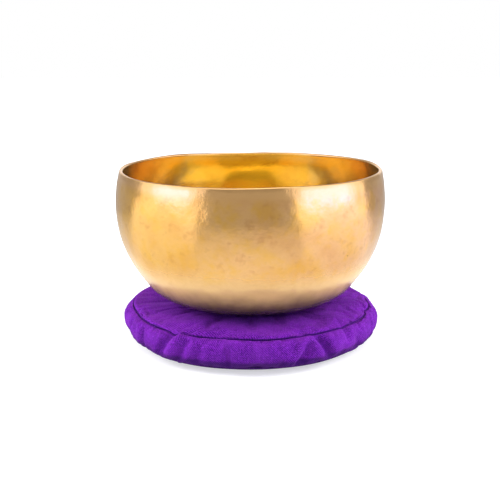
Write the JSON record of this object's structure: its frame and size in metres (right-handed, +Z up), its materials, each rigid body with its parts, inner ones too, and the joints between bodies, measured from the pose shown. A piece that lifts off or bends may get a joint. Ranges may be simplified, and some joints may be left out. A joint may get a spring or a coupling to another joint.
{
  "type": "singing bowl",
  "caption": "Rounded hammered-metal bowl that rings when struck or rubbed, resting on a flat round cloth cushion with a boxed side; the bowl lifts off.",
  "frame": {"origin": "the middle of the cushion's underside, on the surface that the object stands on", "axes": "+Z up along the axis of the bowl and the cushion; +Y towards the back, where the side band's joining seam is; +X to the right"},
  "size_m": [0.21, 0.21, 0.1356],
  "materials": {
    "bronze": "beaten bronze, satin polished, with fine scratches that run round the bowl and small dark pits",
    "cotton": "matt purple cotton with a close diagonal weave",
    "wadding": "loose off-white cotton wadding",
    "thread": "dark purple cotton sewing thread"
  },
  "bodies": {
    "cushion": {"cushion_top_panel": "cotton", "cushion_side_band": "cotton", "cushion_bottom_panel": "cotton", "cushion_filling": "wadding", "upper_seam_thread": "thread", "lower_seam_thread": "thread", "band_seam_thread": "thread"},
    "bowl": {"bowl": "bronze"}
  },
  "joints": [
    {"name": "bowl_lift", "type": "slide", "parent": "cushion", "child": "bowl", "axis": [0, 0, 1], "range_m": [0, 0.15]}
  ]
}
